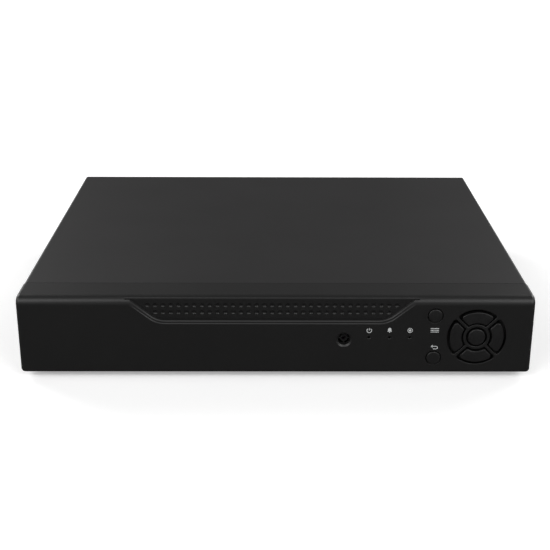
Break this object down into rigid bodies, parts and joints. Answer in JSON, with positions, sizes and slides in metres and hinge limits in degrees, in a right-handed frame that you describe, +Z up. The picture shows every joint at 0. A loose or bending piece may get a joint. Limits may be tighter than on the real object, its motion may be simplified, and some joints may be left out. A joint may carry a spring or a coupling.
{
  "type": "digital video recorder",
  "caption": "Low black steel box recorder for security cameras, with a moulded front bezel, press keys, status lamps and a rear panel of video, audio, network, USB and power sockets.",
  "frame": {"origin": "on the surface the feet stand on, under the middle of the overall box", "axes": "+X to the right of someone facing the front panel, -Y towards that person (the front bezel faces -Y, the sockets face +Y), +Z up"},
  "size_m": [0.256, 0.2286, 0.044],
  "materials": {
    "cover_paint": "black powder coat, satin",
    "chassis_paint": "black powder coat, satin",
    "label_print": "pale grey printed film, matt",
    "bezel_plastic": "black moulded ABS, fine spark-eroded grain",
    "key_plastic": "black moulded ABS, satin",
    "foot_rubber": "black rubber, matt",
    "screw_black": "black oxide screw",
    "screw_steel": "zinc plated steel screw",
    "nickel": "nickel plated turned brass",
    "bright_tin": "tin plated pressed steel",
    "gold_contact": "gold plated contact",
    "ptfe": "cream PTFE insulator",
    "socket_black": "black moulded nylon",
    "tip_white": "white moulded plastic",
    "tip_red": "red moulded plastic",
    "display_blue": "blue moulded plastic",
    "terminal_green": "green moulded nylon",
    "lamp_clear": "clear epoxy lamp",
    "lamp_yellow_green": "yellow-green indicator window",
    "receiver_epoxy": "dark infrared-pass epoxy",
    "board_green": "green solder-masked laminate",
    "chip_black": "black epoxy package",
    "standoff_brass": "brass standoff",
    "heat_aluminium": "natural extruded aluminium",
    "drive_aluminium": "cast aluminium drive case",
    "cell_steel": "stainless coin cell",
    "socket_cream": "cream nylon header",
    "plunger_cream": "cream switch plunger",
    "lead_red": "red PVC flat cable",
    "lead_black": "black PVC leads",
    "lead_grey": "grey PVC ribbon",
    "shell_black": "blackened pressed steel"
  },
  "bodies": {
    "root": {"top_cover": "cover_paint", "chassis_base": "chassis_paint", "rear_label": "label_print", "front_bezel": "bezel_plastic", "rubber_feet": "foot_rubber", "cover_screws": "screw_black", "key_board": "board_green", "switch_bodies": "chip_black", "status_lamps": "lamp_clear", "remote_receiver": "receiver_epoxy", "lead_sockets": "socket_cream", "main_board": "board_green", "board_standoffs": "standoff_brass", "pan_screws": "screw_steel", "video_processor": "chip_black", "heat_sink": "heat_aluminium", "memory_chips": "chip_black", "coin_cell": "cell_steel", "alarm_buzzer": "socket_black", "hard_drive": "drive_aluminium", "drive_screws": "screw_steel", "drive_data_lead": "lead_red", "drive_power_lead": "lead_black", "front_panel_lead": "lead_grey", "bnc_shells": "nickel", "bnc_insulators": "ptfe", "bnc_contacts": "gold_contact", "jack_housings": "socket_black", "audio_out_shell": "nickel", "audio_out_insulator": "tip_white", "audio_in_block": "socket_black", "audio_in_barrels": "bright_tin", "white_inserts": "tip_white", "red_inserts": "tip_red", "display_shell": "bright_tin", "display_insert": "display_blue", "display_jackscrews": "bright_tin", "video_shell": "shell_black", "video_tongue": "socket_black", "network_usb_shell": "bright_tin", "network_usb_insert": "socket_black", "network_lamps": "lamp_yellow_green", "terminal_block": "terminal_green", "terminal_pins": "bright_tin", "power_jack": "socket_black", "power_jack_pin": "bright_tin"},
    "up_key": {"key_up": "key_plastic", "plunger_up": "plunger_cream"},
    "down_key": {"key_down": "key_plastic", "plunger_down": "plunger_cream"},
    "left_key": {"key_left": "key_plastic", "plunger_left": "plunger_cream"},
    "right_key": {"key_right": "key_plastic", "plunger_right": "plunger_cream"},
    "ok_key": {"key_ok": "key_plastic", "plunger_ok": "plunger_cream"},
    "menu_key": {"key_menu": "key_plastic", "plunger_menu": "plunger_cream"},
    "esc_key": {"key_esc": "key_plastic", "plunger_esc": "plunger_cream"}
  },
  "joints": [
    {"name": "up_press", "type": "slide", "parent": "root", "child": "up_key", "axis": [0, 1, 0], "range_m": [0, 0.0005], "stiffness_N_per_m": 800, "springref_m": -0.001},
    {"name": "down_press", "type": "slide", "parent": "root", "child": "down_key", "axis": [0, 1, 0], "range_m": [0, 0.0005], "stiffness_N_per_m": 800, "springref_m": -0.001},
    {"name": "left_press", "type": "slide", "parent": "root", "child": "left_key", "axis": [0, 1, 0], "range_m": [0, 0.0005], "stiffness_N_per_m": 800, "springref_m": -0.001},
    {"name": "right_press", "type": "slide", "parent": "root", "child": "right_key", "axis": [0, 1, 0], "range_m": [0, 0.0005], "stiffness_N_per_m": 800, "springref_m": -0.001},
    {"name": "ok_press", "type": "slide", "parent": "root", "child": "ok_key", "axis": [0, 1, 0], "range_m": [0, 0.0005], "stiffness_N_per_m": 800, "springref_m": -0.001},
    {"name": "menu_press", "type": "slide", "parent": "root", "child": "menu_key", "axis": [0, 1, 0], "range_m": [0, 0.0005], "stiffness_N_per_m": 800, "springref_m": -0.001},
    {"name": "esc_press", "type": "slide", "parent": "root", "child": "esc_key", "axis": [0, 1, 0], "range_m": [0, 0.0005], "stiffness_N_per_m": 800, "springref_m": -0.001}
  ]
}
